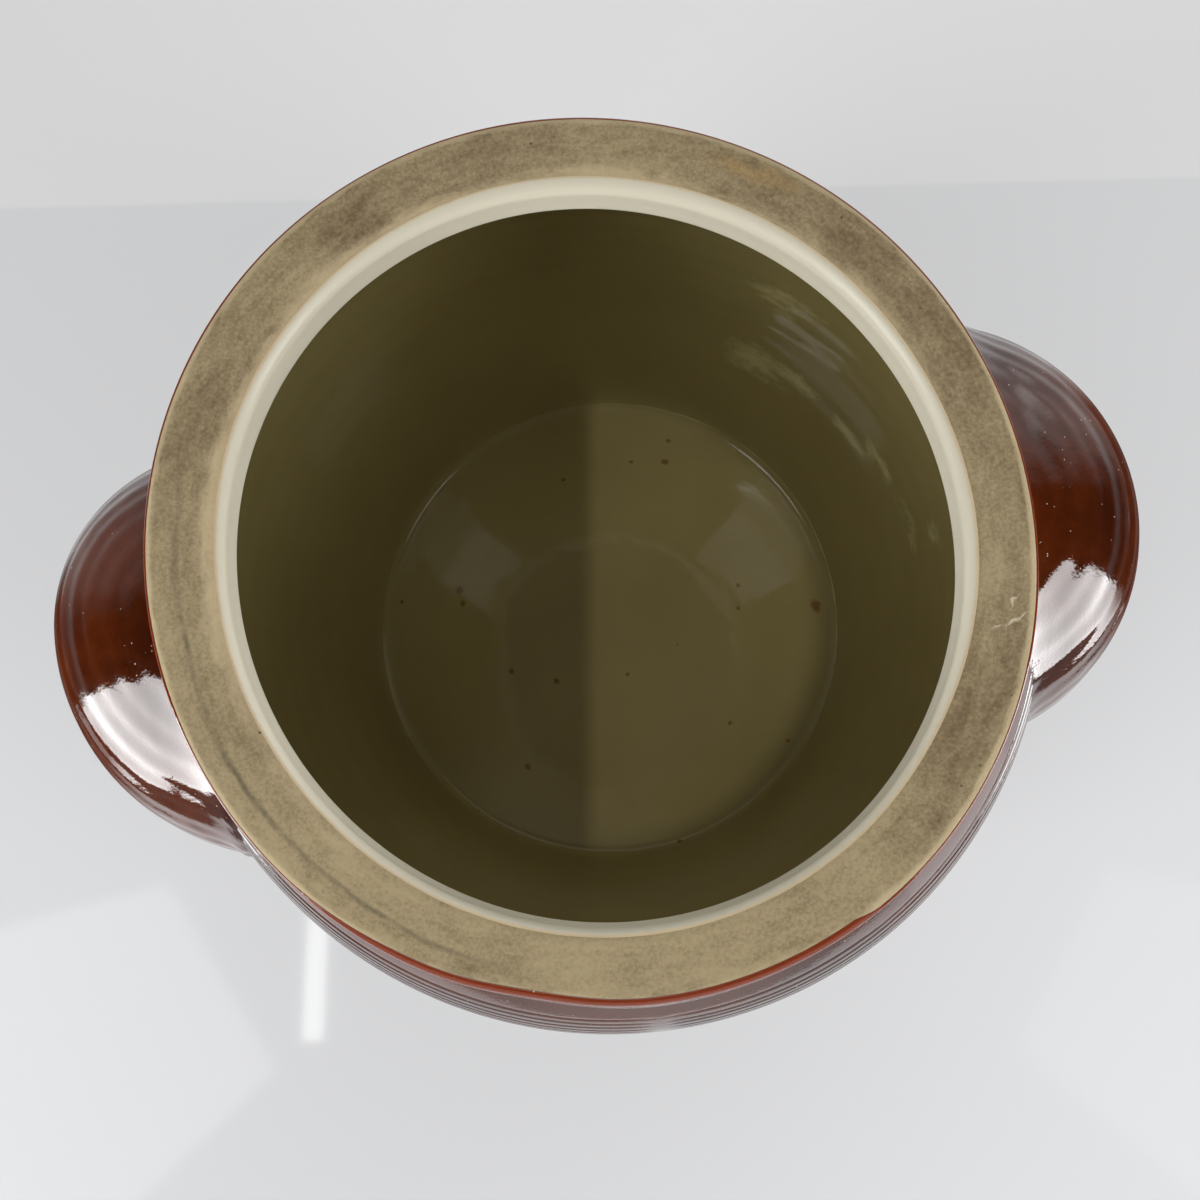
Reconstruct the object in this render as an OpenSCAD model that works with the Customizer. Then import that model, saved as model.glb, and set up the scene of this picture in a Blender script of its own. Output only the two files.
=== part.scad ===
// Confit pot: a thrown stoneware jar with two ear handles, glazed inside and out.
// Millimetres, +Z up. The origin is the centre of the foot; the handles lie along X.

/* [Body] */
// height from the foot to the flat of the rim
pot_h = 212; // [200:1:226]
// widest diameter of the clay
belly_d = 239; // [232:1:246]
// height of the widest point
belly_z = 127; // [118:1:136]
// radius of the shoulder's curve above the belly
shoulder_arc = 123; // [116:1:130]
// radius of the wall's curve below the belly
lower_arc = 317; // [280:1:360]
// how far the flat foot stands in from the belly
foot_in = 31; // [25:0.5:37]
// rounding between foot and wall
foot_round = 8; // [4:0.5:12]
// thickness of the wall
wall_t = 10; // [7:0.5:12]
// thickness of the floor
floor_t = 12; // [8:0.5:16]
// how far the flat of the floor stands in from the foot's edge
floor_in = 5.5; // [3:0.5:10]
// rounding between floor and wall inside
floor_round = 8; // [5:0.5:14]
// width of the ring that the pot stands on
foot_ring_w = 16; // [8:0.5:24]
// depth of the hollow under the foot
foot_hollow = 1.5; // [0.8:0.1:3]

/* [Rim] */
// how far the rim stands out over the neck
rim_over = 2.6; // [1.6:0.1:3.6]
// height of the rim's outer face
rim_h = 14; // [12:0.5:17]
// rounding of the upper outer edge
rim_round = 3; // [1.5:0.5:5]
// rounding of the lower outer edge
under_round = 4; // [2.5:0.5:5.5]
// width of the rim from its outer face to the mouth
rim_w = 18.9; // [17:0.1:21]
// rounding of the inner edge
lip_round = 5.5; // [4:0.5:7.5]

/* [Turned lines] */
// number of fine lines on the shoulder
line_count = 8; // [3:1:9]
// height between two lines
line_step = 4; // [3:0.1:4.5]
// depth of the first line under the rim
line_first = 30; // [27:0.5:34]
// radius of the turning tool's tip
line_tip = 0.9; // [0.6:0.1:1.2]
// depth that the tip cuts
line_cut = 0.35; // [0.2:0.05:0.5]

/* [Handles] */
// diameter of the thrown ring that an ear is cut from
ring_d = 122; // [118:0.5:126]
// how far an ear stands out beyond the belly
ear_reach = 26.5; // [24:0.5:29]
// radius of the ear's domed section
ear_arc = 56; // [54:0.5:58]
// thickness of the ear
ear_t = 8; // [6:0.5:10]
// gap between the rim and the top of an ear
ear_gap = 3.5; // [2.5:0.5:6]
// slope of the section at the ear's lower edge, degrees
ear_low = 7; // [3:1:12]
// number of finger-drawn ribs round the dome
rib_count = 6; // [5:1:7]
// radius of one rib
rib_r = 32; // [26:0.5:44]
// thickness of the slip that lutes an ear to the wall
slip_t = 1.2; // [0.8:0.1:2]

/* [Glaze] */
// thickness of the brown coat
coat_t = 0.6; // [0.4:0.1:0.8]
// thickness of the inner lining
lining_t = 0.6; // [0.4:0.1:0.8]
// bare height above the foot
coat_low = 9; // [6:0.5:14]
// bare height at the rim's edges
rim_bare = 0.5; // [0.3:0.1:0.9]
// depth of the white lip band
lip_band = 12; // [10:0.5:14]

/* [Hidden] */
$fn = 180;
belly_r = belly_d / 2;
foot_r = belly_r - foot_in;
floor_r = foot_r - floor_in;
ring_r = ring_d / 2;
neck_z = pot_h - rim_h;
lip_z = pot_h - lip_band;
span = belly_d;
over = 1;
// centres of the two curves that meet at the belly
shoulder_x = belly_r - shoulder_arc;
lower_x = belly_r - lower_arc;
// the rim's outer face stands over the shoulder's curve at the neck
neck_r = shoulder_x + sqrt(shoulder_arc ^ 2 - (neck_z - belly_z) ^ 2);
rim_r = neck_r + rim_over;
mouth_r = rim_r - rim_w;
// the dome's centre and the ring's own axis
ear_x = ring_r - ear_arc;
ear_z = neck_z - ear_gap - ear_arc;
ear_axis = belly_r + ear_reach - ring_r;
ear_eye = ring_r / 8;
rib_step = 90 / rib_count;

module band(z0, z1) {
    translate([0, z0])
        square([span, z1 - z0]);
}

// half section of a jar, solid to the axis: two arcs that meet at the belly and a rounded corner below
module jar(grow, base_r, base_z, corner) {
    turn_z = base_z + corner;
    intersection() {
        translate([shoulder_x, belly_z])
            circle(shoulder_arc + grow);
        band(belly_z, pot_h);
    }
    intersection() {
        translate([lower_x, belly_z])
            circle(lower_arc + grow);
        polygon([[0, base_z], [span, base_z], [span, belly_z], [belly_r + grow, belly_z], [0, neck_z]]);
        union() {
            band(turn_z, pot_h);
            translate([0, base_z])
                square([base_r, pot_h]);
            translate([base_r, turn_z])
                circle(corner);
        }
    }
}

module rim_block(grow) {
    translate([0, neck_z - grow])
        square([rim_r - under_round, rim_h + grow]);
    translate([0, neck_z + under_round])
        square([rim_r + grow, rim_h - under_round - rim_round]);
    translate([0, pot_h - rim_round])
        square([rim_r - rim_round, rim_round]);
    translate([rim_r - under_round, neck_z + under_round])
        circle(under_round + grow);
    intersection() {
        translate([rim_r - rim_round, pot_h - rim_round])
            circle(rim_round + grow);
        band(neck_z, pot_h);
    }
}

// fine lines turned into the shoulder, at the surface of the clay or of the coat over it
module turned_lines(grow) {
    for (i = [0:line_count - 1]) {
        rise = pot_h - line_first - i * line_step - belly_z;
        translate([shoulder_x, belly_z])
            rotate(asin(rise / shoulder_arc))
                translate([shoulder_arc + grow + line_tip - line_cut, 0])
                    circle(line_tip, $fn = 24);
    }
}

// outer half section of the pot, solid to the axis and grown by a coat
module outline(grow) {
    difference() {
        union() {
            jar(grow, foot_r, -grow, foot_round + grow);
            rim_block(grow);
        }
        turned_lines(grow);
    }
}

module mouth(shrink) {
    translate([0, belly_z])
        square([mouth_r - shrink, pot_h + over - belly_z]);
    difference() {
        translate([0, pot_h - lip_round])
            square([mouth_r + lip_round, lip_round + over]);
        translate([mouth_r + lip_round, pot_h - lip_round])
            circle(lip_round + shrink);
    }
}

// half section of the hollow, shrunk by a lining
module cavity(shrink) {
    jar(-wall_t - shrink, floor_r, floor_t + shrink, floor_round - shrink);
    mouth(shrink);
}

module lining(z0, z1) {
    rotate_extrude()
        intersection() {
            difference() {
                cavity(0);
                cavity(lining_t);
            }
            band(z0, z1);
        }
}

// section of the ear's ring about its own axis: a ribbed dome with a rounded lower edge
module ear_section(grow) {
    translate([ear_x, ear_z]) {
        difference() {
            intersection() {
                union()
                    for (i = [0:rib_count - 1])
                        rotate(ear_low + (i + 0.5) * rib_step)
                            translate([ear_arc - rib_r, 0])
                                circle(rib_r + grow);
                rotate(ear_low)
                    square(span);
            }
            circle(ear_arc - ear_t - grow);
        }
        rotate(ear_low)
            translate([ear_arc - ear_t / 2, 0])
                circle(ear_t / 2 + grow);
    }
}

module ear_ring(grow) {
    translate([ear_axis, 0, 0])
        rotate_extrude()
            intersection() {
                ear_section(grow);
                translate([ear_eye, 0])
                    square([span, pot_h]);
            }
}

module solid_pot(grow) {
    rotate_extrude()
        outline(grow);
}

// the ear stops one slip layer short of the wall
module handle() {
    color("peru")
        difference() {
            ear_ring(0);
            solid_pot(slip_t);
        }
}

// luting slip between the ear's cut edge and the wall
module handle_slip() {
    color("tan")
        difference() {
            intersection() {
                ear_ring(0);
                solid_pot(slip_t);
            }
            solid_pot(0);
        }
}

module handle_glaze() {
    color("saddlebrown")
        difference() {
            ear_ring(coat_t);
            ear_ring(0);
            solid_pot(0);
        }
}

module pot_body() {
    color("burlywood")
        rotate_extrude()
            difference() {
                outline(0);
                cavity(0);
                translate([0, -over])
                    square([foot_r - foot_ring_w, foot_hollow + over]);
            }
}

module right_handle() {
    handle();
}

module left_handle() {
    mirror([1, 0, 0])
        handle();
}

module right_handle_slip() {
    handle_slip();
}

module left_handle_slip() {
    mirror([1, 0, 0])
        handle_slip();
}

module outer_glaze() {
    color("sienna")
        difference() {
            rotate_extrude()
                intersection() {
                    difference() {
                        outline(coat_t);
                        outline(0);
                    }
                    band(coat_low, pot_h - rim_bare);
                }
            ear_ring(coat_t);
            mirror([1, 0, 0])
                ear_ring(coat_t);
        }
}

module right_handle_glaze() {
    handle_glaze();
}

module left_handle_glaze() {
    mirror([1, 0, 0])
        handle_glaze();
}

module inner_glaze() {
    color("darkolivegreen")
        lining(0, lip_z);
}

module lip_glaze() {
    color("ivory")
        lining(lip_z, pot_h - rim_bare);
}

pot_body();
right_handle();
left_handle();
right_handle_slip();
left_handle_slip();
outer_glaze();
right_handle_glaze();
left_handle_glaze();
inner_glaze();
lip_glaze();
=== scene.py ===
"""The confit pot: a thrown stoneware jar with two ribbed ear handles, glazed inside and out."""

import bpy
import numpy as np
from mathutils import Matrix, Vector


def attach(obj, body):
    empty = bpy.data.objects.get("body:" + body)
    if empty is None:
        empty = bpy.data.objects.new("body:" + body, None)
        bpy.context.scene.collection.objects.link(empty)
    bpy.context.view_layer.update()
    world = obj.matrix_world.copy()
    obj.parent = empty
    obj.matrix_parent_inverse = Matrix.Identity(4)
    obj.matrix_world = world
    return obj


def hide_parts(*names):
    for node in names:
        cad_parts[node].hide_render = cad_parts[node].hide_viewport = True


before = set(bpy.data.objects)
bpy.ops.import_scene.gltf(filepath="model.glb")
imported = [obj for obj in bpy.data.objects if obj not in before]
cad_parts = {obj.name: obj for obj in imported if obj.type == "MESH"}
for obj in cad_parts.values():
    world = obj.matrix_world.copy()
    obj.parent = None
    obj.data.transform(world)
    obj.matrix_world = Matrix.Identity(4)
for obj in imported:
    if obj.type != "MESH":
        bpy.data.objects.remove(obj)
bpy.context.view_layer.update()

# The pot's body: one stoneware jar thrown on a wheel, with a heavy flat rim and a turned foot
# ring. The clay stays bare on top of the rim and under the foot. The ears are stuck to its
# shoulder, and the glazes lie on it. All sizes are in millimetres until a mesh is made.
mm = 0.001
pot_h = 212.0
belly_r = 119.5
belly_z = 127.0
shoulder_arc = 123.0
lower_arc = 317.0
foot_r = 88.5
foot_round = 8.0
foot_ring_r = 72.5
foot_hollow = 1.5
rim_r = 99.5
rim_h = 14.0
rim_round = 3.0
under_round = 4.0
mouth_r = 80.6
lip_round = 3.0
wall_t = 10.0
floor_t = 12.0
floor_r = 83.0
floor_round = 8.0
neck_z = pot_h - rim_h
shoulder_x = belly_r - shoulder_arc
lower_x = belly_r - lower_arc
turns = 400
turn = np.linspace(0, 2 * np.pi, turns, endpoint=False)[:, None]
fine_step, wide_step = 0.5, 4.0

# How far this pot strays from true. Bearings, whose names end in at, and half widths are in
# degrees.
oval_share, oval_at, oval_from_z = 0.0158, 124.6, 60.0
rim_from_r, rim_to_r = 86.0, 97.0
rim_from_z, rim_to_z = 197.0, 200.0
edge_in, edge_shift, edge_shift_at = 0.8, 1.15, -46.0
knock, knock_at, knock_half = 0.9, 255.0, 9.0
swell, swell_at, swell_half = 0.6, 50.0, 35.0
skirt_slope, skirt_at, skirt_half, skirt_deep = 0.3, -95.0, 50.0, 7.0
mouth_wider, mouth_shift, mouth_shift_at = 1.4, 0.28, -16.0
mouth_from_z, mouth_to_z = 150.0, 200.0


def arc(centre_r, centre_z, radius, start, end):
    """Points of a circle's arc in a half section, from one angle in degrees to another, half a
    degree apart."""
    steps = max(int(abs(end - start) * 2), 2)
    a = np.radians(np.linspace(start, end, steps))
    return np.stack([centre_r + radius * np.cos(a), centre_z + radius * np.sin(a)], 1)


def crossing(r0, z0, radius, r1, z1, other, side):
    """The angle in degrees, seen from the first circle's centre, at which a second circle crosses
    it: the way to the other centre, plus or minus the angle that the three lengths give."""
    gap = np.hypot(r1 - r0, z1 - z0)
    spread = np.arccos((radius**2 + gap**2 - other**2) / (2 * radius * gap))
    return np.degrees(np.arctan2(z1 - z0, r1 - r0) + side * spread)


def gaps(points):
    """The distance from each point of a line to the next."""
    return np.hypot(*np.diff(points, axis=0).T)


def spaced(points, step):
    """The same line with its points a step apart: the steps are counted up along it, and the line
    is read again at even counts. The step may change along the line."""
    count = np.r_[0, np.cumsum(gaps(points) / np.broadcast_to(step, len(points))[1:])]
    at = np.linspace(0, count[-1], int(count[-1]) + 2)
    return np.stack([np.interp(at, count, column) for column in points.T], 1)


def outside():
    """The clay's outer half section, rim to foot: the rim's two roundings, the shoulder's arc,
    the lower wall's arc and the foot's corner, each ending where the next crosses it."""
    rim = (rim_r - under_round, neck_z + under_round, under_round)
    shoulder = (shoulder_x, belly_z, shoulder_arc)
    lower = (lower_x, belly_z, lower_arc)
    foot = (foot_r, foot_round, foot_round)
    return np.concatenate([
        arc(rim_r - rim_round, pot_h - rim_round, rim_round, 90, 0),
        arc(*rim, 0, crossing(*rim, *shoulder, 1)),
        arc(*shoulder, crossing(*shoulder, *rim, -1), 0),
        arc(*lower, 0, crossing(*lower, *foot, -1)),
        arc(*foot, crossing(*foot, *lower, 1) - 360, -90),
    ])


def inside():
    """The clay's inner half section, axis to rim: the floor, its round corner, the two wall arcs,
    the mouth's straight bore and the lip's rounding."""
    corner = (floor_r, floor_t + floor_round, floor_round)
    lower = (lower_x, belly_z, lower_arc - wall_t)
    shoulder = (shoulder_x, belly_z, shoulder_arc - wall_t)
    mouth_angle = np.degrees(np.arccos((mouth_r - shoulder_x) / shoulder[2]))
    return np.concatenate([
        [[0, floor_t]],
        arc(*corner, -90, crossing(*corner, *lower, 1) - 360),
        arc(*lower, crossing(*lower, *corner, -1), 0),
        arc(*shoulder, 0, mouth_angle),
        arc(mouth_r + lip_round, pot_h - lip_round, lip_round, 180, 90),
    ])


def rise(value, zero, one):
    """0 where a value is at zero, 1 where it is at one, a straight line between them, and level
    beyond. one may be the smaller."""
    return np.clip((value - zero) / (one - zero), 0, 1)


def towards(angle, bearing):
    """How nearly an angle points along a bearing in degrees: the cosine of the angle between
    them."""
    return np.cos(angle - np.radians(bearing))


def near_to(angle, bearing, half):
    """1 at a bearing and falling off on both sides like a bell, half being its half width in
    degrees."""
    away = (angle - np.radians(bearing) + np.pi) % (2 * np.pi) - np.pi
    return np.exp(-((away / np.radians(half)) ** 2))


def hand_made(angle, radius, height):
    """A point's place on the pot as it left the wheel. The top is drawn a little oval, most
    across one slanting line. The rim's outer edge sits off the mouth's centre, so that the rim is
    narrower at the near right, where the mouth opens a touch wider. On the near side it has a
    shallow knock and flares a little downwards."""
    oval = oval_share * rise(height, oval_from_z, neck_z)
    radius = radius * (1 + oval * np.cos(2 * (angle - np.radians(oval_at))))
    outer = rise(radius, rim_from_r, rim_to_r)
    edge = edge_in + edge_shift * towards(angle, edge_shift_at)
    edge = edge + knock * near_to(angle, knock_at, knock_half)
    edge = edge - swell * near_to(angle, swell_at, swell_half)
    skirt = skirt_slope * near_to(angle, skirt_at, skirt_half)
    skirt = skirt * np.clip(pot_h - rim_round - height, 0, skirt_deep)
    mouth = mouth_wider + mouth_shift * towards(angle, mouth_shift_at)
    radius = radius + (skirt - edge) * outer * rise(height, rim_from_z, rim_to_z)
    radius = radius + mouth * (1 - outer) * rise(height, mouth_from_z, mouth_to_z)
    x, y, z = np.broadcast_arrays(radius * np.cos(angle), radius * np.sin(angle), height)
    return np.stack([x, y, z], -1)


def grid(rows, columns, wrap_rows, wrap_columns):
    """Four point numbers for each face of a grid numbered row by row, joined end to end where it
    wraps."""
    a, b = np.meshgrid(
        np.arange(rows - (not wrap_rows)), np.arange(columns - (not wrap_columns)), indexing="ij"
    )
    a1 = (a + 1) % rows
    b1 = (b + 1) % columns
    corners = [a * columns + b, a * columns + b1, a1 * columns + b1, a1 * columns + b]
    return np.stack(corners, -1).reshape(-1, 4)


def turned(points):
    """Faces of a turned solid whose section starts and ends on the axis: quads round the wall,
    and a fan of triangles to one point at each end. Returns the points with those two added, and
    the faces."""
    wall = points[:, 1:-1].reshape(-1, 3)
    columns = points.shape[1] - 2
    quads = grid(turns, columns, True, False).tolist()
    first = np.arange(turns) * columns
    then = np.roll(first, -1)
    low = np.full(turns, len(wall))
    fans = np.stack([low, first, then], 1).tolist()
    fans += np.stack([then + columns - 1, first + columns - 1, low + 1], 1).tolist()
    ends = np.stack([points[:, 0].mean(0), points[:, -1].mean(0)])
    return np.concatenate([wall, ends]), quads + fans


def piece(name, points, faces, node, slot_name, finish, **kept):
    """A smooth mesh from points in millimetres and lists of point numbers. It rides on the pot
    and stands for its CAD node. Each further value is kept on the points under its name, for the
    material."""
    mesh = bpy.data.meshes.new(name)
    mesh.from_pydata((points.reshape(-1, 3) * mm).tolist(), [], faces, shade_flat=False)
    mesh.materials.append(finish)
    for key, values in kept.items():
        values = np.asarray(values, dtype=np.float32).ravel()
        mesh.attributes.new(key, "FLOAT", "POINT").data.foreach_set("value", values)
    made = bpy.data.objects.new(name, mesh)
    bpy.context.scene.collection.objects.link(made)
    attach(made, "root")
    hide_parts(node)


class Finish:
    """A socket of a material. Sums with it add Math nodes, and node() adds any other node."""

    def __init__(self, tree, socket=None):
        self.tree = tree
        self.socket = socket

    def node(self, kind, settings, sockets, out=0):
        """A new node of that type. Its settings are set first, then each socket takes a value or
        a link."""
        made = self.tree.nodes.new(kind)
        for key, value in settings.items():
            setattr(made, key, value)
        for key, value in sockets.items():
            if isinstance(value, Finish):
                self.tree.links.new(value.socket, made.inputs[key])
            else:
                made.inputs[key].default_value = value
        return Finish(self.tree, made.outputs[out])

    def sum(self, operation, first, second=0.0):
        """A Math node on two values."""
        return self.node("ShaderNodeMath", {"operation": operation}, {0: first, 1: second})

    def __add__(self, other):
        return self.sum("ADD", self, other)

    __radd__ = __add__

    def __sub__(self, other):
        return self.sum("SUBTRACT", self, other)

    def __rsub__(self, other):
        return self.sum("SUBTRACT", other, self)

    def __mul__(self, other):
        return self.sum("MULTIPLY", self, other)

    __rmul__ = __mul__

    def size(self):
        """The value without its sign."""
        return self.sum("ABSOLUTE", self)

    def ease(self, low, high):
        """0 below low, 1 above high, and a smooth rise between."""
        return self.node(
            "ShaderNodeMapRange", {"interpolation_type": "SMOOTHSTEP"},
            {"Value": self, "From Min": low, "From Max": high},
        )

    def mix(self, factor, first, second):
        """The first colour where the factor is 0, the second where it is 1."""
        sockets = {"Factor": factor, 6: first, 7: second}
        return self.node("ShaderNodeMix", {"data_type": "RGBA"}, sockets, out=2)

    def vector(self, operation, other, out=0):
        """A Vector Math node on this place and another."""
        settings = {"operation": operation}
        return self.node("ShaderNodeVectorMath", settings, {0: self, 1: other}, out=out)

    def along(self, way):
        """How far this place lies along a way: their dot product."""
        return self.vector("DOT_PRODUCT", way, out="Value")

    def axis(self, name):
        """One of this place's three coordinates."""
        return self.node("ShaderNodeSeparateXYZ", {}, {"Vector": self}, out=name)

    def from_axis(self):
        """This place's distance from the upright axis: its length with the height left out."""
        return self.vector("MULTIPLY", (1, 1, 0)).vector("LENGTH", (0, 0, 0), out="Value")

    def noise(self, scale, detail=3.0, rough=0.55, out=0):
        """Cloudy noise at this place, about 0.5 on average."""
        sockets = {"Vector": self, "Scale": scale, "Detail": detail, "Roughness": rough}
        return self.node("ShaderNodeTexNoise", {}, sockets, out=out)

    def dots(self, scale, size, rare):
        """1 in small round dots and 0 between them. rare is the share of the cells that have
        none, and size is the largest dot's radius in cells."""
        cell = {"Vector": self, "Scale": scale}
        far = self.node("ShaderNodeTexVoronoi", {"feature": "F1"}, cell)
        tint = self.node("ShaderNodeTexVoronoi", {"feature": "F1"}, cell, out=1)
        pick = self.node("ShaderNodeSeparateColor", {}, {"Color": tint})
        return (pick.ease(rare, 1.0) * size - far).ease(0.0, size * 0.35)

    def attribute(self, name):
        """A value that the piece keeps on its points, or 0 where it keeps none of that name."""
        return self.node("ShaderNodeAttribute", {"attribute_name": name}, {}, out="Fac")

    def bump(self, depth):
        """A normal from heights of 0 to 1 that stand for a depth in metres."""
        sockets = {"Height": self, "Distance": depth, "Strength": 1.0}
        return self.node("ShaderNodeBump", {}, sockets)


def colour(red, green, blue):
    """A screen colour from 0 to 255 as the linear colour that a shader takes."""
    screen = np.array([red, green, blue]) / 255
    linear = np.where(screen <= 0.04045, screen / 12.92, ((screen + 0.055) / 1.055) ** 2.4)
    return (*linear.tolist(), 1.0)


def begin(name):
    """A new material's start: the material, its principled shader and a Finish on Object
    coordinates."""
    made = bpy.data.materials.new(name)
    made.use_nodes = True
    shader = made.node_tree.nodes["Principled BSDF"]
    place = Finish(made.node_tree).node("ShaderNodeTexCoord", {}, {}, out="Object")
    return made, shader, place


def feed(shader, **sockets):
    """Links the shader's sockets, named with _ for a space, to finishes, or sets them to plain
    values."""
    for key, value in sockets.items():
        socket = shader.inputs[key.replace("_", " ").title().replace("Ior", "IOR")]
        if isinstance(value, Finish):
            value.tree.links.new(value.socket, socket)
        else:
            socket.default_value = value


def in_rings(place, share):
    """Coordinates in which a pattern is drawn out round the pot: the level ones shrunk to a
    share, and the distance from the axis less the height as the third."""
    third = place.from_axis() - place.axis("Z")
    third = place.node("ShaderNodeCombineXYZ", {}, {"Z": third})
    return place.vector("MULTIPLY", (share, share, 0)).vector("ADD", third)


def patch(place, bearing, radius, half_out, half_round, slant=0):
    """1 in the middle of an oval patch and 0 at its edge. Its middle is given by a bearing in
    degrees and a distance from the axis, and its half sizes outwards and round the pot, in
    millimetres. It may be slanted by an angle in degrees."""
    bearing = np.radians(bearing)
    local = place.node("ShaderNodeMapping", {"vector_type": "TEXTURE"}, {
        "Vector": place,
        "Location": (radius * mm * np.cos(bearing), radius * mm * np.sin(bearing), 0),
        "Rotation": (0, 0, bearing + np.radians(slant)),
        "Scale": (half_out * mm, half_round * mm, 1),
    })
    return 1 - local.from_axis()


# Darker patches on the rim: bearing, distance from the axis, half sizes outwards and round, depth
dark_patches = (
    (-40, 91, 12, 38, 0.36), (4, 92, 11, 36, 0.2), (36, 92, 11, 52, 0.25), (90, 93, 12, 44, 0.2),
    (120, 93, 10, 34, 0.22), (152, 92, 9, 26, 0.14),
)


def bare_clay():
    """Dry buff stoneware, worn and stained on the rim: a sandy grain, mottles drawn out by the
    turning, darker patches, one wandering dark ring, a creamy band beside the lip, an ochre
    stain, a scratch and pits. Painted light makes the near side of the rim lighter."""
    made, shader, place = begin("bare_clay")
    across = place.attribute("across")
    grain = place.noise(1300, 2, 0.6)
    sand = in_rings(place, 0.4).noise(420, 3, 0.6)
    mottle = in_rings(place, 0.2).noise(190, 4, 0.6)
    blotch = place.noise(34, 3)

    light = mottle * 0.9 + blotch * 1.2 + sand * 0.8 + grain * 1.1 - 1.47
    for bearing, radius, half_out, half_round, depth in dark_patches:
        dark_patch = patch(place, bearing, radius, half_out, half_round)
        light = light - dark_patch.ease(0.0, 1.0) * depth
    # Painted light: the clay is made lighter towards the near side of the rim.
    light = light + place.along((-0.3, -0.95, 0)).ease(0.0, 0.09) * 0.22
    tone = place.mix(light.ease(-0.25, 1.15), colour(106, 89, 64), colour(167, 151, 117))

    ring = (0.075 - (across - 0.72 + blotch * 0.3).size()).ease(0.0, 0.07)
    ring = ring * (mottle + sand - 0.7).ease(0.0, 0.45)
    leftward = place.along((-0.9, -0.43, 0)).ease(0.05, 0.085)
    tone = place.mix(ring * leftward * 0.7, tone, colour(84, 76, 60))
    ochre = patch(place, 58.5, 93.2, 3.2, 15).ease(0.0, 0.7)
    ochre = ochre * (mottle * 2 + sand - 1.0).ease(0.0, 0.7)
    tone = place.mix(ochre * 0.45, tone, colour(172, 136, 78))
    cream = (0.24 - across + sand * 0.2 + blotch * 0.2 - 0.2).ease(-0.06, 0.1)
    far_side = place.along((-0.4, 0.92, 0)).ease(-0.05, 0.04)
    tone = place.mix(cream * far_side * 0.55, tone, colour(198, 178, 142))
    edge = (across - 0.9 + sand * 0.1).ease(0.0, 0.07)
    tone = place.mix(edge * 0.55, tone, colour(190, 172, 137))

    shaken = place.noise(260, 2.0, 0.5, out="Color").vector("MULTIPLY", (0.004, 0.004, 0))
    shaken = place.vector("ADD", shaken).vector("SUBTRACT", (0.002, 0.002, 0))
    scratch = patch(shaken, -18.5, 91.9, 6.2, 0.4, 36).ease(0.0, 0.6)
    scratch = scratch + patch(shaken, -15.5, 92.5, 3.2, 0.3, 60).ease(0.0, 0.8)
    tone = place.mix(scratch * sand.ease(0.3, 0.55) * 0.75, tone, colour(206, 196, 172))
    pits = place.dots(210, 0.085, 0.6)
    tone = place.mix(pits * 0.75, tone, colour(74, 58, 42))
    salt = place.dots(330, 0.075, 0.75)
    tone = place.mix(salt * 0.6, tone, colour(222, 208, 176))
    feed(shader, base_color=tone, roughness=0.88, specular_ior_level=0.2)
    relief = grain * 0.35 + sand * 0.5 + mottle * 0.4 - pits * 1.2
    feed(shader, normal=relief.bump(0.00022))
    return made


section = np.concatenate([inside(), outside()])
at_neck = (section[:, 0] > mouth_r + 10) & (section[:, 1] > neck_z - 4)
at_top = section[:, 1] > pot_h - 5
section = spaced(section, np.where(at_neck | at_top, fine_step, wide_step))
foot_ring = [[foot_ring_r, 0.0], [foot_ring_r, foot_hollow], [0.0, foot_hollow]]
section = np.concatenate([section, foot_ring])
points, faces = turned(hand_made(turn, *section.T))
on_flat = section[:, 1] > pot_h - rim_round
across = np.where(on_flat, (section[:, 0] - mouth_r) / (rim_r - mouth_r), 0)
across = np.r_[np.tile(across[1:-1], turns), 0, 0]
clay = bare_clay()
piece("pot_body_clay", points, faces, "pot_body", "stoneware", clay, across=across)

# The two ears: hoods of the same clay, thrown as ribbed domes, cut and stuck to the shoulder so
# that fingers fit under the lower edge. Each stands a layer of slip away from the wall. The
# potter set them by eye, so the pair differs a little.
ear_arc = 56.0
ear_t = 8.0
ear_seat = ear_arc - ear_t / 2
ear_z = 138.5
ear_low = 7.0
bead_reach = 0.07
rib_step = 7.5
rib_rise = 0.1
slip_t = 1.2
coat_t = 0.6
clay_root = (0.5, 0.5)
inside_root = 1.4
pull_over = 1.7
pull_bend = 1.2
hollow_from, hollow_over, hollow_least = 5.0, 28.0, 0.2
crest_deep = 1.1
dry_share, dry_fade = 0.9, 0.25
dry_top, dry_full = 45.0, 38.0
clay_rows, clay_columns = 60, 61

# An ear's own axis is that far from the pot's, its ring is the radius about it, and turn is its
# bearing. Its far end is pulled round by an angle. Its two roots end in hollows of those radii,
# and its lower edge is dry between two parts of its sweep, which runs from -1 to 1.
ears = {
    "right": {
        "axis": 87.3, "ring": 58.3, "turn": 0.6, "pull": 0.0,
        "roots": (7.0, 7.0), "dry": (-0.68, 0.6),
    },
    "left": {
        "axis": 82.5, "ring": 65.0, "turn": 178.0, "pull": 10.5,
        "roots": (1.5, 7.0), "dry": (-0.36, 0.72),
    },
}


def wall_radius(height):
    """The pot's outer radius at a height on its shoulder: the shoulder's arc, with its glaze."""
    return shoulder_x + coat_t + np.sqrt(shoulder_arc**2 - (height - belly_z) ** 2)


def ribbed(angle):
    """The dome's outer radius at an angle in degrees above level: a row of soft ribs as a cosine
    wave along it, and the bead of the lower edge, whichever stands further out."""
    rib = ear_arc - rib_rise - rib_rise * np.cos(2 * np.pi * (angle - ear_low) / rib_step)
    from_edge = np.radians(angle - ear_low)
    inner = np.clip((ear_t / 2) ** 2 - (ear_seat * np.sin(from_edge)) ** 2, 0, None)
    bead = ear_seat * np.cos(from_edge) + np.sqrt(inner)
    return np.maximum(rib, np.where(np.abs(from_edge) < bead_reach, bead, 0))


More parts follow.
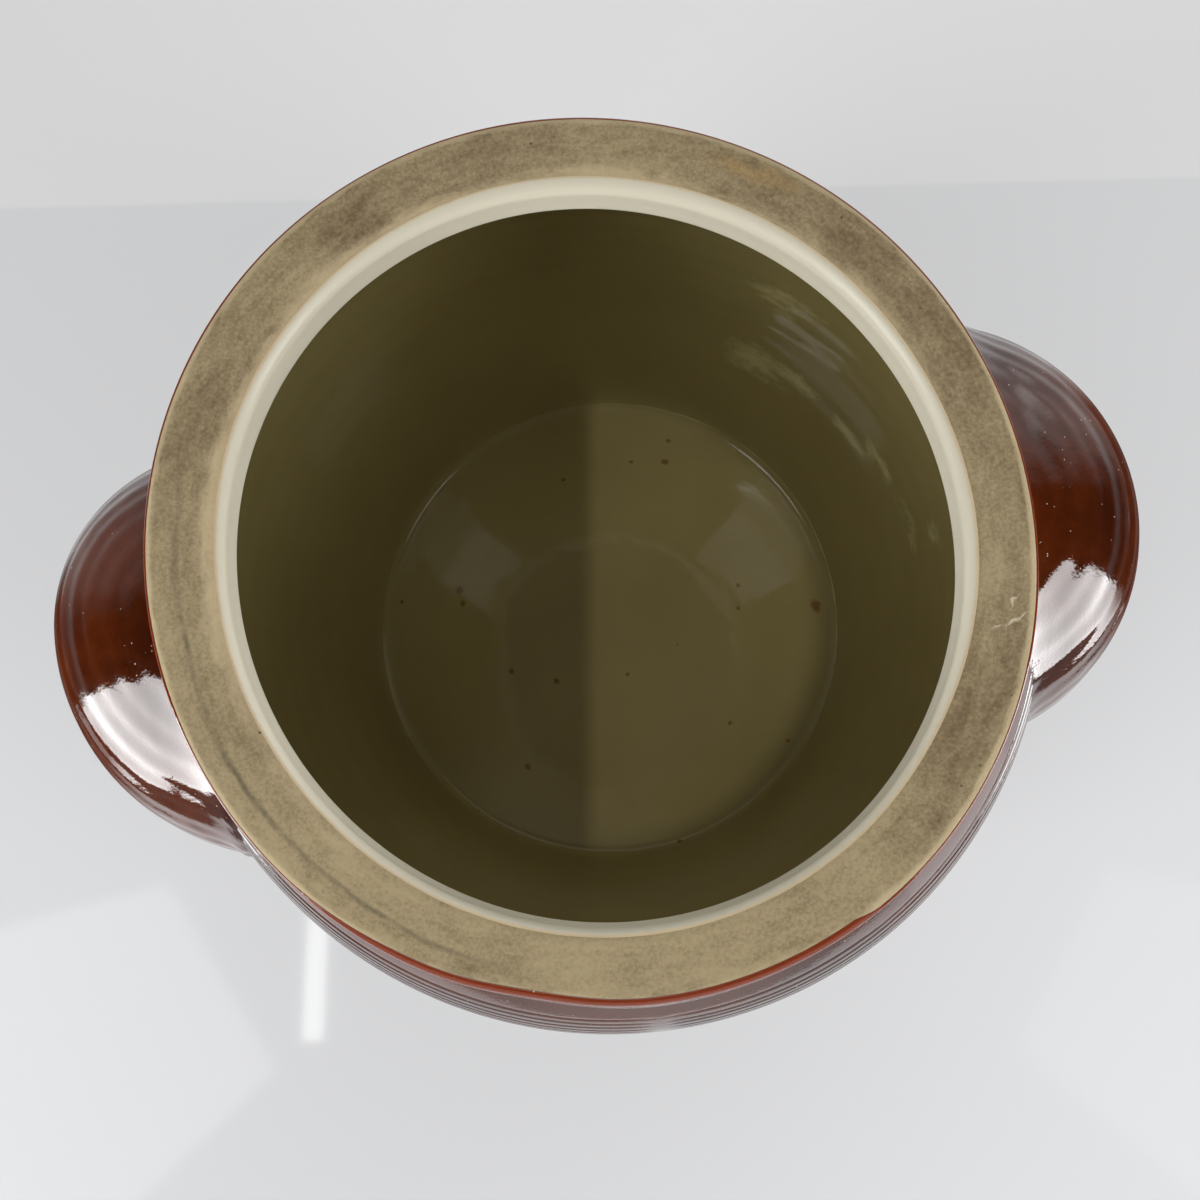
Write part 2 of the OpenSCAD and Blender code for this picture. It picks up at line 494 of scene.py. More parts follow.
def smooth(angle):
    """The dome's inner radius, the same at every angle."""
    return np.full_like(angle, ear_arc - ear_t)


def pointing(angle):
    """The way that an angle in degrees points, as a complex number of length 1."""
    return np.exp(1j * np.radians(angle))


def on_dome(ear, at):
    """Distance from the ear's own axis, and height, of points of its section. The section is a
    complex number from the dome's centre."""
    return ear["ring"] - ear_arc + at.real, ear_z + at.imag


def highest(ear, radius_at, depth):
    """The angle at which the middle of the ear's skin has gone that deep into the wall: the first
    of many tried whose reach falls short of the wall."""
    angle = np.linspace(20, 90, 1401)
    out, height = on_dome(ear, radius_at(angle) * pointing(angle))
    gap = ear["axis"] + out - wall_radius(height) + depth
    return angle[np.argmax(gap < 0)]


def sweep(ear, out, height, depth):
    """How far round its own axis each line of the ear runs before it is that deep in the wall, by
    the cosine rule on the axis's distance, the line's radius and the wall's radius."""
    ratio = (wall_radius(height) - depth) ** 2 - ear["axis"] ** 2 - out**2
    return np.arccos(np.clip(ratio / (2 * ear["axis"] * out), -1, 0.9999))


def placed(ear, out, height, around, from_wall=None):
    """Points of the ear from a radius, a height and an angle about its own upright axis. Where
    from_wall is given, a point keeps that distance from the pot's wall at its new height, and
    only slides along it. The far end of an ear may be pulled round the pot, by an angle that
    grows towards that end."""
    spot = ear["axis"] + out * np.exp(1j * around)
    if from_wall is not None:
        spot = spot / np.abs(spot) * (wall_radius(height) + from_wall)
    turned_by = ear["turn"] + ear["pull"] * rise(-around, 0, pull_over) ** pull_bend
    spot, height = np.broadcast_arrays(spot * pointing(turned_by), height)
    return np.stack([spot.real, spot.imag, height], -1)


def ear_skin(ear, coat, depth, rows, columns, roots):
    """The ear's skin and its faces. The section runs down the ribbed outside, round the lower
    edge and up the smooth inside; each of its lines is swept both ways until it is in the wall,
    and flares out as a round hollow where it nears it, of one radius at each end. Two strips of
    faces close the cut ends. Also returns how far each point is on a rib's crest, and how far on
    the dry edge."""
    outer_top = highest(ear, ribbed, depth)
    inner_top = highest(ear, smooth, depth)
    outer = outer_top - (outer_top - ear_low) * np.linspace(0, 1, rows) ** 2
    inner = (inner_top - (inner_top - ear_low) * np.linspace(0, 1, rows // 2) ** 2)[::-1]
    edge = ear_low - np.linspace(0, 180, rows // 4 + 2)[1:-1]
    angle = np.r_[outer, edge, inner]
    side = np.r_[np.ones(len(outer) + len(edge)), -np.ones(len(inner))]
    at = np.r_[
        (ribbed(outer) + coat) * pointing(outer),
        ear_seat * pointing(ear_low) + (ear_t / 2 + coat) * pointing(edge),
        (ear_arc - ear_t - coat) * pointing(inner),
    ]
    out, height = on_dome(ear, at)
    swing = np.linspace(-1, 1, columns)[:, None]
    around = swing * sweep(ear, out, height, depth)
    from_wall = np.abs(ear["axis"] + out * np.exp(1j * around)) - wall_radius(height)

    flare = np.interp(swing, (-0.4, 0.4), roots)
    less_below = np.clip((angle - hollow_from) / hollow_over, hollow_least, 1)
    hollow = np.where(side > 0, flare * less_below, np.minimum(flare, inside_root))
    short = np.clip(hollow - from_wall, 0, hollow)
    lift = (hollow - np.sqrt(hollow**2 - short**2)) * side * pointing(angle)
    points = placed(ear, out + lift.real, height + lift.imag, around, from_wall)

    loop = len(at)
    quads = grid(columns, loop, False, True)
    near = np.arange(loop // 2 - 1)
    cap = np.stack([near, near + 1, loop - 2 - near, loop - 1 - near], 1)
    faces = np.concatenate([quads, cap[:, ::-1], cap + (columns - 1) * loop])

    crest = rise(np.abs(at) - coat, ear_arc - crest_deep, ear_arc) * (side > 0)
    start, end = ear["dry"]
    dry = dry_share * rise(angle, dry_top, dry_full) * (side > 0)
    dry = dry * rise(swing, start, start + dry_fade) * rise(swing, end, end - dry_fade)
    shape = points.shape[:-1]
    return points, faces, np.broadcast_to(crest, shape), np.broadcast_to(dry, shape)


for side_name, ear in ears.items():
    points, faces, _, _ = ear_skin(ear, 0.0, -slip_t, clay_rows, clay_columns, clay_root)
    node = side_name + "_handle"
    piece(node + "_clay", points, faces.tolist(), node, "stoneware", clay)

# The slip under the ears: the pot's clay let down with water, brushed on the wall and on each
# ear's cut edge before the ear is pressed home. It is squeezed to a thin even bed, and the glaze
# covers it.
slip_columns = 121


def ear_slip(ear):
    """The slip under an ear's cut edge: four lines along the joint, inside and outside the ear,
    on the wall and one layer above it, each at the sweep where the ear's skin is that far from
    the wall."""
    along = np.linspace(-1, 1, slip_columns)
    lines = []
    for radius_at, lift in ((ribbed, 0.0), (ribbed, slip_t), (smooth, slip_t), (smooth, 0.0)):
        depth = coat_t - lift
        top = highest(ear, radius_at, depth)
        angle = top - (top - ear_low) * along**2
        out, height = on_dome(ear, radius_at(angle) * pointing(angle))
        around = np.sign(along) * sweep(ear, out, height, depth)
        lines.append(placed(ear, out, height, around))
    points = np.stack(lines, 1)[:, ::-1]
    quads = grid(slip_columns, 4, False, True).tolist()
    last = 4 * (slip_columns - 1)
    return points, quads + [[3, 2, 1, 0], [last, last + 1, last + 2, last + 3]]


def dry_slip():
    """Slip, smoother and a little darker than the body, in soft clouds of two browns."""
    made, shader, place = begin("dry_slip")
    cloud = place.noise(160, 3)
    tone = place.mix(cloud.ease(0.3, 0.7), colour(118, 98, 70), colour(146, 124, 92))
    feed(shader, base_color=tone, roughness=0.8, normal=cloud.bump(0.0003))
    return made


slip = dry_slip()
for side_name, ear in ears.items():
    points, faces = ear_slip(ear)
    node = side_name + "_handle_slip"
    piece(side_name + "_handle_joint", points, faces, node, "slip", slip)

# The brown glaze outside: one coat poured over the pot, from just over the rim's outer edge to
# just above the foot. It lies thin and rusty on the rim's rounding. Eight fine lines are turned
# in it on the shoulder, smeared over at one place on the near side.
rim_coat, rim_fade = 0.2, 6.0
edge_coat, edge_fade = 0.04, 1.6
edge_over, edge_nearer, edge_wander = 2.4, 1.4, 0.2
coat_low, low_fade, low_up, low_wander = 9.0, 2.5, 1.2, 1.0
coat_uneven = 0.05
line_count = 8
line_first = 30.0
line_step = 4.0
line_depth = 0.3
line_half = 0.6
line_wander = 0.25
smear_at, smear_half = 270.0, 2.6
rim_rows, neck_rows, line_rows, wall_rows = 30, 18, 92, 46


def ripple(angle, run, seed, waves, longest):
    """A slow unevenness of about -1 to 1: a few cosine waves round the pot and along the section,
    whose counts and phases are drawn once from a seed."""
    draw = np.random.default_rng(seed)
    total = 0
    for _ in range(waves):
        turns_round = draw.integers(1, 9)
        length = longest * draw.uniform(0.25, 1.0)
        phase = draw.uniform(0, 2 * np.pi)
        total = total + np.cos(turns_round * angle + 2 * np.pi * run / length + phase)
    return total / np.sqrt(waves)


def run_along(points):
    """How far along a line each of its points is."""
    return np.r_[0, np.cumsum(gaps(points))]


def run_down(height):
    """How far along the outer section a height is, coming down from the rim."""
    return np.interp(-height, -full[:, 1], full_run)


def lifted(line, run, lift):
    """Radius and height of points at a run along a section, lifted off it: the section's own
    point, plus the lift along the section's way there turned by a right angle."""
    line_run = run_along(line)
    radius, height = (np.interp(run, line_run, column) for column in line.T)
    way_r, way_z = (
        np.interp(run + 0.2, line_run, column) - np.interp(run - 0.2, line_run, column)
        for column in line.T
    )
    length = np.hypot(way_r, way_z)
    return radius - lift * way_z / length, height + lift * way_r / length


def quarter_round(share):
    """A quarter of a circle, rising steeply from 0 and ending level at 1."""
    return np.sqrt(share * (2 - share))


def brown_glaze():
    """Iron glaze: dark brown where thick, amber where thinner and rusty on edges, with pale
    pinholes, a few iron specks and a faint orange peel. It is dented on the ears, and dry along
    their lower edges."""
    made, shader, place = begin("brown_glaze")
    thin = place.attribute("thin")
    dry = place.attribute("dry")
    cloud = place.noise(26, 3)
    fine = place.noise(300, 3)
    peel = place.noise(1000, 2)
    amber = (cloud * 1.5 + fine * 0.5 + thin * 0.7 + dry * 0.2 - 0.72).ease(0.0, 1.0)
    tone = place.mix(amber, colour(46, 13, 2), colour(86, 34, 6))
    tone = place.mix(thin.ease(0.55, 1.0), tone, colour(122, 48, 18))
    pinholes = place.dots(560, 0.13, 0.55)
    tone = place.mix(pinholes * 0.85, tone, colour(214, 196, 178))
    iron = place.dots(75, 0.055, 0.8)
    tone = place.mix(iron * 0.85, tone, colour(24, 12, 8))
    feed(shader, base_color=tone, roughness=fine * 0.06 + 0.05, ior=1.6)
    dents = place.noise(100, 1) * place.attribute("by_hand")
    relief = cloud * 0.6 + dents * 0.8 + fine * 0.08 + peel * 0.08 - pinholes * 0.1
    feed(shader, normal=relief.bump(0.0005))
    matt = place.node(
        "ShaderNodeBsdfPrincipled", {},
        {"Base Color": tone, "Roughness": 0.9, "Specular IOR Level": 0.0},
    )
    glossy = Finish(place.tree, shader.outputs[0])
    mixed = place.node("ShaderNodeMixShader", {}, {0: dry, 1: glossy, 2: matt})
    place.tree.links.new(mixed.socket, place.tree.nodes["Material Output"].inputs["Surface"])
    return made


full = spaced(outside(), 0.1)
full_run = run_along(full)
lines_top = pot_h - line_first + 2 * line_half
rim_run = run_down(neck_z)
lines_start = run_down(lines_top)
lines_end = run_down(lines_top - line_count * line_step)
low_run = run_down(coat_low)
stops = np.concatenate([
    np.linspace(0, rim_run, rim_rows, endpoint=False),
    np.linspace(rim_run, lines_start, neck_rows, endpoint=False),
    np.linspace(lines_start, lines_end, line_rows, endpoint=False),
    np.linspace(lines_end, low_run, wall_rows),
]) / low_run
facing = (np.degrees(turn) + 180) % 360 - 180
near_side = rise(facing, -140, -124) * rise(facing, -60, -63)
edge_wave = edge_over - edge_nearer * near_side + edge_wander * ripple(turn, 0.0, 3, 6, 1.0)
low_wave = low_run - low_up + low_wander * ripple(turn, 0.0, 4, 5, 1.0)
run = edge_wave + (low_wave - edge_wave) * stops
taper = rise(run - edge_wave, 0, edge_fade) * rise(low_wave - run, 0, low_fade)
full_coat = rim_coat + (coat_t - rim_coat) * rise(run - rim_run, 0, rim_fade)
coat = edge_coat + (full_coat - edge_coat) * quarter_round(taper)
coat = coat + coat_uneven * ripple(turn, run, 5, 9, 60.0) * taper
kept = 1 - near_to(turn, smear_at, smear_half)
for i in range(line_count):
    line_run = run_down(pot_h - line_first - i * line_step)
    wander = line_wander * ripple(turn, 0.0, 20 + i, 4, 1.0)
    coat = coat - line_depth * kept * np.exp(-(((run - line_run - wander) / line_half) ** 2))
_, height = lifted(full, run, 0.0)
on_rim = rise(height, neck_z + 3, neck_z + 9)
by_neck = 0.5 * rise(height, neck_z - 24, neck_z - 14)
skin = hand_made(turn, *lifted(full, run, coat))
clay_side = hand_made(turn, *lifted(full, run[:, ::-6], 0.0))
points = np.concatenate([skin, clay_side], 1)
thin = np.concatenate([np.maximum(on_rim, by_neck), np.zeros(clay_side.shape[:-1])], 1)
faces = grid(turns, points.shape[1], True, True).tolist()
brown = brown_glaze()
piece("outer_glaze_coat", points, faces, "outer_glaze", "brown_glaze", brown, thin=thin)

# The brown glaze on the ears: the same coat, run over the ribs, round the lower edge and up
# inside, and into the wall's coat at the roots. It breaks to amber on the ribs, is dented where
# fingers held the soft clay, and is dry along the lower edge.
skin_sunk, skin_rows, skin_columns = 3.0, 150, 121
back_sunk, back_gap = 2.6, 0.02
crest_thin = 0.35
for side_name, ear in ears.items():
    roots = ear["roots"]
    points, faces, crest, dry = ear_skin(ear, coat_t, skin_sunk, skin_rows, skin_columns, roots)
    back = ear_skin(ear, back_gap, back_sunk, clay_rows, clay_columns, roots)
    back_points, back_faces, _, _ = back
    faces = np.concatenate([faces, back_faces[:, ::-1] + crest.size])
    points = np.concatenate([points.reshape(-1, 3), back_points.reshape(-1, 3)])
    unseen = np.zeros(len(points) - crest.size)
    thin = crest_thin * np.r_[crest.ravel(), unseen]
    dry = np.r_[dry.ravel(), unseen]
    by_hand = np.ones(len(points))
    node = side_name + "_handle_glaze"
    piece(
        node + "_coat", points, faces.tolist(), node, "brown_glaze", brown,
        thin=thin, dry=dry, by_hand=by_hand,
    )

# The glaze inside: an olive liner poured in and out again. It follows the throwing rings of the
# wall and the floor's slight crown, pools in a bead round the edge of the floor, and is spotted
# with iron.
lining_t = 0.6
lip_band = 12.0
lip_z = pot_h - lip_band
lining_uneven = 0.03
ring_depth, ring_step = 0.05, 13.0
ring_shake, shake_step = 0.8, 17.0
bead_h, bead_half, bead_out, bead_wander = 0.4, 2.1, 5.0, 0.35
# A painted highlight in pale glaze colour along the bead, centred at a bearing on the far right.
bead_glint, bead_glint_half = 1.5, 0.6
bead_glint_at, bead_glint_wide = 23.0, 36.0
crown_r = 42.0
crown_slope = 0.052
crown_bend = crown_slope / (2 * crown_r)
crown_ease = crown_slope / (2 * (floor_r - crown_r))
crown_h = crown_slope * floor_r / 2

# Bearing, distance from the axis, half size
iron_spots = (
    (158, 59.2, 2.2), (163, 57, 1.6), (-2.8, 79.5, 3.2), (63, 67.6, 1.8), (74, 64.6, 1.3),
    (99, 59.7, 1.1), (64, 76, 1.2), (9, 52, 1.1), (-0.5, 50, 1.2), (-163, 41, 1.6), (-141, 29, 1.6),
    (-77, 20, 1.1), (-47, 59, 1.3), (-80, 85.5, 1.2), (-128, 61.7, 1.8), (165, 80.5, 0.9),
    (-41, 80.6, 1.2),
)

# Painted reflections on the far right of the wall: bearing and half width in degrees, height and
# half height
milky_streaks = (
    (52, 10, 62, 16), (41, 10, 67, 9), (30, 10, 67, 6), (19, 8, 75, 6), (9, 9, 76, 6),
    (50, 9, 112, 12), (4, 4, 93, 7),
)


def olive_glaze():
    """Olive brown liner, smooth and glassy, with a slow cloudiness, a painted highlight along the
    bead and painted reflections on one side of the wall, iron spots on the floor and fine specks."""
    made, shader, place = begin("olive_glaze")
    cloud = place.noise(16, 3)
    fine = place.noise(420, 2)
    pale = (cloud * 1.3 + fine * 0.15 - 0.22).ease(0, 1)
    tone = place.mix(pale, colour(153, 139, 90), colour(167, 154, 104))
    broken = in_rings(place, 0.5).noise(120, 6, 0.7)
    # Painted highlight and reflections: the glaze is mixed to a pale colour where the points keep
    # them.
    milk = (place.attribute("milky") + broken * 2.4 - 1.75).ease(0.0, 0.7)
    tone = place.mix(milk * 0.85, tone, colour(212, 202, 146))
    for bearing, radius, half in iron_spots:
        spot = patch(place, bearing, radius, half * 0.8, half)
        spot = (spot + fine * 0.8 - 0.4).ease(0.0, 0.6)
        tone = place.mix(spot * 0.7, tone, colour(112, 66, 24))
    specks = place.dots(120, 0.05, 0.8)
    tone = place.mix(specks * 0.7, tone, colour(66, 50, 26))
    wave = place.noise(70, 2)
    feed(shader, base_color=tone, roughness=fine * 0.04 + 0.05, ior=1.5)
    feed(shader, normal=(cloud * 0.8 + wave * 0.25 + fine * 0.02).bump(0.0005))
    return made


wall = spaced(inside(), 0.1)
wall = wall[wall[:, 1] < lip_z + 1.5]
at_corner = np.abs(wall[:, 0] - floor_r - 4.5) + np.abs(wall[:, 1] - floor_t) < 11
wall = spaced(wall, np.where(at_corner, 0.4, 2.0))
wall_z = wall[:, 1]
wall_run = run_along(wall)
shake = ring_shake * np.sin(wall_z / shake_step)
rings = ring_depth * np.sin(2 * np.pi * wall_z / ring_step + shake)
uneven = lining_uneven * ripple(turn, wall_run, 8, 9, 90.0)
off_bead = wall_run - floor_r - bead_out - bead_wander * ripple(turn, 0.0, 31, 8, 1.0)
bead = bead_h * np.exp(-((off_bead / bead_half) ** 2))
domed = crown_h - crown_bend * wall_run**2
eased = crown_ease * np.clip(floor_r - wall_run, 0, None) ** 2
crown = np.where(wall_run < crown_r, domed, eased)
coat = lining_t + rise(wall_run, 0, 30) * (rings + uneven) + bead + crown
way = np.gradient(wall, axis=0)
way /= np.hypot(*way.T)[:, None]
front = hand_made(turn, wall[:, 0] - coat * way[:, 1], wall_z + coat * way[:, 0])
rear = hand_made(turn, *wall[::-4].T)
points, faces = turned(np.concatenate([front, rear], 1))
# The painted highlight along the bead, then the painted reflections on the wall, kept on the
# points.
milky = bead_glint * near_to(turn, bead_glint_at, bead_glint_wide) ** 0.4
milky = milky * np.exp(-((off_bead / bead_glint_half) ** 2))
for bearing, half, level, half_level in milky_streaks:
    streak = near_to(turn, bearing, half) * np.exp(-(((wall_z - level) / half_level) ** 2))
    milky = np.maximum(milky, streak)
milky = np.concatenate([milky, np.zeros(rear.shape[:-1])], 1)[:, 1:-1]
milky = np.r_[milky.ravel(), 0, 0]
olive = olive_glaze()
piece("inner_glaze_coat", points, faces, "inner_glaze", "olive_glaze", olive, milky=milky)

# The white glaze of the lip: a band dipped on last, from the mouth's bore over the rounding to
# the flat of the rim. Its outer edge is wiped back by hand and wanders a little.
lip_edge_r, lip_least, lip_wander = 82.4, 1.2, 0.2
lip_shift, lip_shift_at = 1.2, 71.0
lip_wipe, lip_wipe_at, lip_wipe_half = 0.5, -116.0, 25.0
lip_t, lip_edge_t = 0.35, 0.03
lip_fade, bore_fade = 1.2, 0.8
lip_rows = 48


def white_glaze():
    """Creamy white glaze, smooth, with painted shade that greys it on the rounding and on the near
    side, thin and tan at its wiped edge, with a few small iron specks."""
    made, shader, place = begin("white_glaze")
    thin = place.attribute("thin")
    cloud = place.noise(60, 3)
    fine = place.noise(700, 2)
    # Painted shade: the rounding, lit from above, is mixed to a greyer tone than the bore.
    tone = place.mix(place.attribute("over"), colour(230, 224, 204), colour(200, 193, 173))
    # Painted shade: towards the near side the glaze is mixed halfway to a grey.
    near = place.along((0.1, -0.99, 0)).ease(0.02, 0.08)
    tone = place.mix(near * 0.5, tone, colour(160, 153, 134))
    wiped = (thin + fine * 0.4 - 0.2).ease(0.1, 0.9)
    tone = place.mix(wiped, tone, colour(196, 176, 140))
    specks = place.dots(130, 0.055, 0.72)
    tone = place.mix(specks * 0.8, tone, colour(70, 58, 44))
    feed(shader, base_color=tone, roughness=fine * 0.06 + 0.32, ior=1.5)
    feed(shader, normal=(cloud * 0.8 + fine * 0.04).bump(0.0003))
    return made


lip = spaced(inside(), 0.1)
lip = lip[lip[:, 1] > lip_z]
lip_run = run_along(lip)
narrowest = np.argmin(lip[:, 0])
end_r = lip_edge_r + lip_shift * towards(turn, lip_shift_at)
end_r = end_r - lip_wipe * near_to(turn, lip_wipe_at, lip_wipe_half)
end_r = end_r + lip_wander * ripple(turn, 0.0, 12, 7, 1.0)
end_r = np.maximum(end_r, mouth_r + lip_least)
end_wave = np.interp(end_r, lip[narrowest:, 0], lip_run[narrowest:])
run = end_wave * np.linspace(0, 1, lip_rows)
_, height = lifted(lip, run, 0.0)
taper = rise(end_wave - run, 0, lip_fade) * rise(run, 0, bore_fade)
in_bore = rise(pot_h - 6 - height, 0, 4)
coat = lip_edge_t + (lip_t + (lining_t - lip_t) * in_bore) * quarter_round(taper)
skin = hand_made(turn, *lifted(lip, run, coat))
clay_side = hand_made(turn, *lifted(lip, run[:, ::-3], 0.0))
points = np.concatenate([skin, clay_side], 1)
unseen = np.zeros(clay_side.shape[:-1])
thin = np.concatenate([rise(end_wave - run, 1, 0), unseen], 1)
# Painted shade on the lip: how far each point is up over the rounding.
over = np.concatenate([rise(height - pot_h, -2.4, -0.2), unseen], 1)
faces = grid(turns, points.shape[1], True, True).tolist()
white = white_glaze()
piece(
    "lip_glaze_band", points, faces, "lip_glaze", "white_glaze", white, thin=thin, over=over
)

# The camera: it looks almost straight down into the pot from just on the near side, a little
# rolled to the left. Its place is in millimetres, in the pot's own frame.
camera_at = (3.82, -40.56, 471.46)
camera_swing = np.radians(6.4)
camera_tilt = np.radians(6.373)
camera_roll = np.radians(-14.654)
level_way = np.array([-np.sin(camera_swing), np.cos(camera_swing), 0])
up = np.array([0, 0, 1])
ahead = np.sin(camera_tilt) * level_way - np.cos(camera_tilt) * up
upward = np.cos(camera_tilt) * level_way + np.sin(camera_tilt) * up
sideways = np.cross(ahead, upward)
right_way = np.cos(camera_roll) * sideways + np.sin(camera_roll) * upward
up_way = np.cos(camera_roll) * upward - np.sin(camera_roll) * sideways
camera_data = bpy.data.cameras.new("camera")
camera_data.lens = 36.0
camera_data.sensor_width = 36.0
camera_data.clip_start = 0.01
camera = bpy.data.objects.new("camera", camera_data)
ways = np.stack([right_way, up_way, -ahead, np.multiply(camera_at, mm)], 1)
camera.matrix_world = Matrix([*ways.tolist(), [0, 0, 0, 1]])
bpy.context.scene.collection.objects.link(camera)
bpy.context.scene.camera = camera

# The set: a pale glossy board that the pot stands on, a shade paler behind a straight line, and
# the same floor going on around it, which the glaze doesn't mirror. Its sizes are in metres.
board_low = (-0.30, -0.262)
board_high = (0.30, 0.36)
floor_half = 3.0
strip_at = 0.181
strip_slope = -0.129
strip_soft = 0.0012
board_glow = 0.345


def stand(name, corners, faces, finish):
    """A plain mesh of the set, which is no part of the pot."""
    mesh = bpy.data.meshes.new(name)
    mesh.from_pydata(corners, [], faces)
    if finish:
        mesh.materials.append(finish)
    made = bpy.data.objects.new(name, mesh)
    bpy.context.scene.collection.objects.link(made)
    return made


def flat(name, finish, *sheets):
    """Flat sheets at floor level, each from its low and high corner, as one piece of the set."""
    corners = [
        (x, y, 0) for (x0, y0), (x1, y1) in sheets
        for x, y in ((x0, y0), (x1, y0), (x1, y1), (x0, y1))
    ]
    faces = np.arange(len(corners)).reshape(-1, 4).tolist()
    return stand(name, corners, faces, finish)


def pale_board():
    """Smooth pale board with a sheen, a shade lighter beyond a straight line behind the pot. It
    glows a little where the camera or a mirror sees it, so that it looks white without lighting
    the pot."""
    made, shader, place = begin("pale_board")
    x, y = place.axis("X"), place.axis("Y")
    beyond = (y - x * strip_slope - strip_at).ease(-strip_soft, strip_soft)
    tone = place.mix(beyond, colour(160, 161, 163), colour(172, 172, 173))
    seen = place.node("ShaderNodeLightPath", {}, {}, out="Is Camera Ray")
    mirrored = place.node("ShaderNodeLightPath", {}, {}, out="Is Glossy Ray")
    glow = (seen + mirrored) * (x * 0.08 - y * 0.1 + board_glow)
    glow = place.mix(glow, (0, 0, 0, 1), (1, 1, 1, 1))
    feed(shader, base_color=tone, roughness=0.05, specular_ior_level=0.3)
    feed(shader, emission_color=glow, emission_strength=1.0)
    return made


board = pale_board()
(bx0, by0), (bx1, by1), far = board_low, board_high, floor_half
flat("floor", board, (board_low, board_high))
floor_around = flat(
    "floor_around", board, ((-far, -far), (far, by0)), ((-far, by1), (far, far)),
    ((-far, by0), (bx0, by1)), ((bx1, by0), (far, by1)),
)
floor_around.visible_glossy = False
floor_around.visible_shadow = False

# The soft light: two tall panels in front, left and right, which dim towards their tops and make
# the broad highlights on the ears, and a narrow lamp high on the left, whose streak the board
# mirrors.
eye_height = 0.18
panel_away = 1.1
dim_from, dim_to = 0.75, 1.35
left_corners = [(185, -34), (204, -27), (217, -10), (217, 62), (192, 62), (190, 20)]
right_corners = [(311, -5), (324, -18), (347, -40), (343, 0), (336, 32), (334, 62), (311, 62)]
high_at = (-0.51, -0.32, 1.33)
high_roll = np.radians(50)
high_wide, high_long = 0.03, 0.2
high_radiance = 11.0


def panel(name, bearing, corners, bright, dim):
    """An upright glowing sheet that faces the pot at a bearing. Its corners are given as the ears
    see them, by bearing and height angle in degrees, and lie where those lines meet the sheet."""
    swing = np.radians(bearing)
    seen = np.radians(corners)
    aside = panel_away * np.tan(seen[:, 0] - swing)
    height = eye_height + np.hypot(panel_away, aside) * np.tan(seen[:, 1])
    x = panel_away * np.cos(swing) - aside * np.sin(swing)
    y = panel_away * np.sin(swing) + aside * np.cos(swing)
    made, shader, place = begin(name)
    glow = place.mix(
        place.axis("Z").ease(dim_from, dim_to), (bright, bright, bright, 1), (dim, dim, dim, 1)
    )
    feed(shader, base_color=(0, 0, 0, 1), specular_ior_level=0.0)
    feed(shader, emission_color=glow, emission_strength=1.0)
    points = np.stack([x, y, height], 1).tolist()
    sheet = stand(name, points, [list(range(len(corners)))], made)
    sheet.visible_camera = False


def aimed(lamp, at, target):
    """Puts a lamp at a place, pointing at another, and returns it."""
    turned_to = Vector(np.subtract(at, target)).to_track_quat("Z", "Y")
    made = bpy.data.objects.new(lamp.name, lamp)
    made.matrix_world = Matrix.Translation(at) @ turned_to.to_matrix().to_4x4()
    bpy.context.scene.collection.objects.link(made)
    return made


panel("left_panel", bearing=205, corners=left_corners, bright=7.3, dim=2.6)
panel("right_panel", bearing=327, corners=right_corners, bright=6.2, dim=1.2)
high_data = bpy.data.lights.new("high_lamp", "AREA")
high_data.shape = "RECTANGLE"
high_data.size = high_wide
high_data.size_y = high_long
high_data.energy = high_radiance * np.pi * high_wide * high_long
high = aimed(high_data, high_at, (0, 0, 0))
high.matrix_world = high.matrix_world @ Matrix.Rotation(high_roll, 4, "Z")
high.visible_camera = False

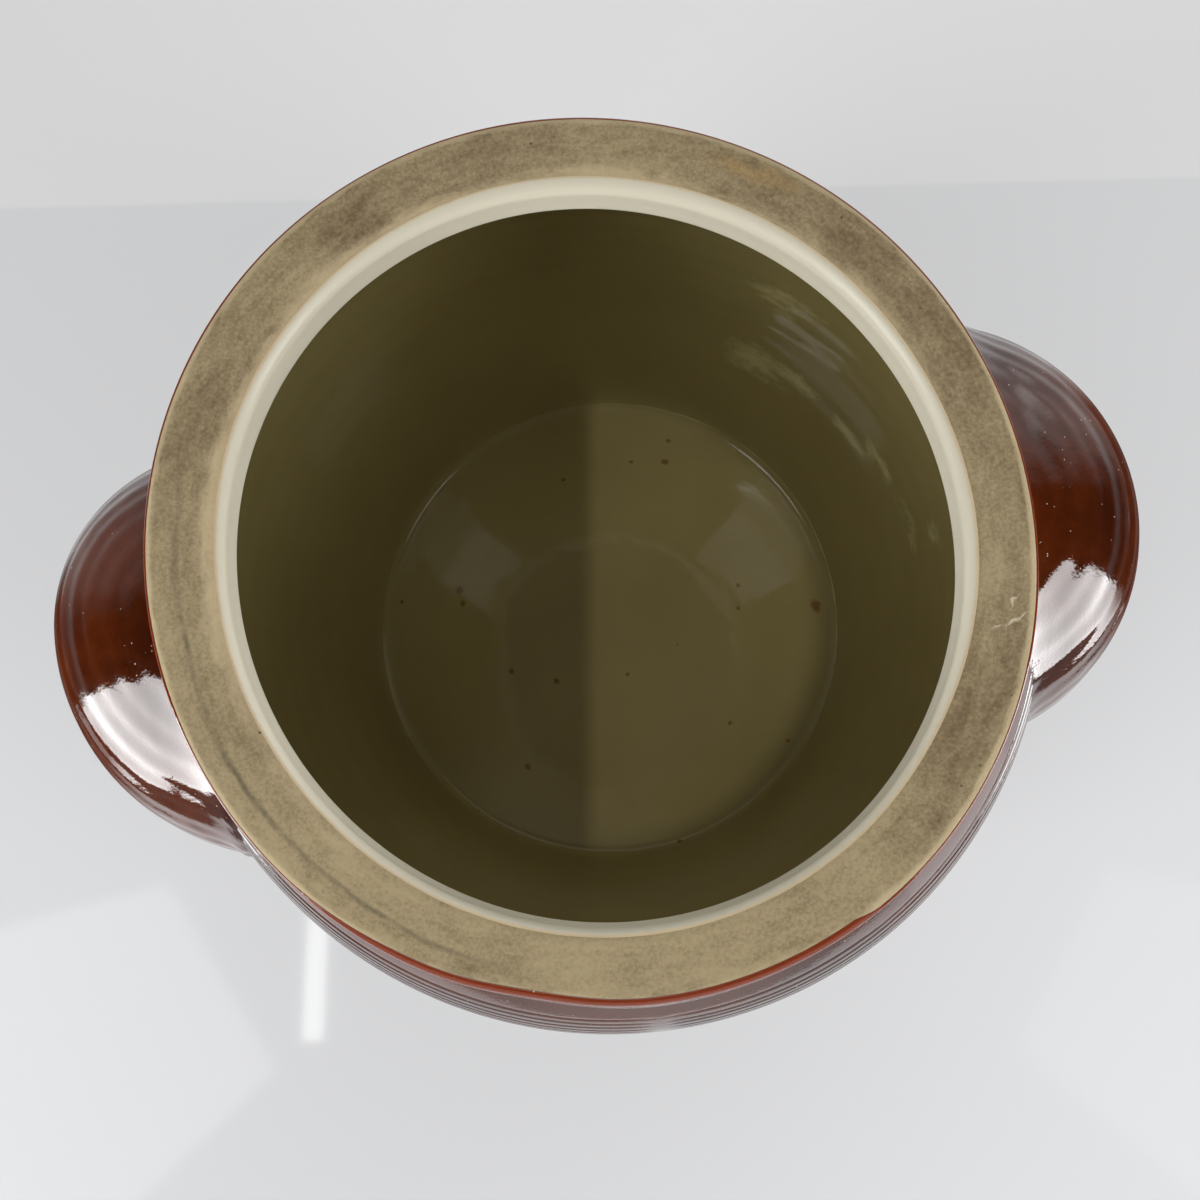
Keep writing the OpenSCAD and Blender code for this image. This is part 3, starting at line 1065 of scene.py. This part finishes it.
# The small lamp: a narrow spot above the camera that lights the inside through the mouth. A card
# hides its left half, and the card's edge lies in the plane of one column of the picture, so that
# the light inside splits along a straight line there. The glaze mirrors neither.
lamp_away = 1.05
lamp_up = 0.13
lamp_watts = 9.0
lamp_blend = 0.25
lamp_r = 0.001
lit_r = 0.081
card_away = 0.3
card_half = 0.1
picture_size = 1200
split_column = 590
split = (split_column - picture_size / 2) / picture_size
sight = ahead + split * right_way
lamp_at = np.array(camera_at) * mm - lamp_away * sight + lamp_up * up_way
mouth_at = np.array([0, 0, pot_h * mm])
lamp_data = bpy.data.lights.new("small_lamp", "SPOT")
lamp_data.energy = lamp_watts
lamp_data.spot_size = 2 * np.arctan(lit_r / np.linalg.norm(lamp_at - mouth_at))
lamp_data.spot_blend = lamp_blend
lamp_data.shadow_soft_size = lamp_r
aimed(lamp_data, lamp_at, mouth_at).visible_glossy = False
card_mid = lamp_at + card_away * sight
card_corners = [
    (card_mid + high_by * up_way - out_by * right_way).tolist()
    for high_by, out_by in (
        (-card_half, 0), (card_half, 0), (card_half, card_half), (-card_half, card_half)
    )
]
card = stand("card", card_corners, [[0, 1, 2, 3]], None)
card.visible_camera = card.visible_glossy = card.visible_diffuse = False

# The room: plain pale walls and ceiling, dark at the sides, with a window far behind on the
# right. Its light depends on the direction alone, and the camera sees an even pale grey in its
# place.
room_seen = 0.75
room_least = 0.07
world = bpy.data.worlds.new("room")
world.use_nodes = True
way = Finish(world.node_tree).node("ShaderNodeTexCoord", {}, {}, out="Generated")
x, y, z = way.axis("X"), way.axis("Y"), way.axis("Z")
mirrored = way.node("ShaderNodeLightPath", {}, {}, out="Is Glossy Ray")
seen = way.node("ShaderNodeLightPath", {}, {}, out="Is Camera Ray")
back_wall = y.ease(0.1, 0.45) * (1 - z.ease(0.3, 0.7)) * (x * 0.15 + 0.43)
back_high = y.ease(0.25, 0.55) * z.ease(0.4, 0.65) * (1 - z.ease(0.8, 0.92)) * 0.45
far_window = way.along((0.4, 0.86, 0.32)).ease(0.78, 1.0) * 1.8
front_room = (0 - y).ease(0.5, 0.85) * (1 - z.ease(0.2, 0.45)) * 0.5
ceiling = z.ease(0.6, 0.85) * (0.38 - mirrored * 0.34)
below = (0 - z).ease(0.2, 0.5) * 0.15
light = back_wall + back_high + far_window + front_room + ceiling + below
light = light + room_least - mirrored * 0.05
strength = seen * room_seen + (1 - seen) * light
background = world.node_tree.nodes["Background"]
world.node_tree.links.new(strength.socket, background.inputs["Strength"])
background.inputs["Color"].default_value = (1, 1, 1, 1)
bpy.context.scene.world = world
bpy.context.scene.view_settings.view_transform = "Standard"
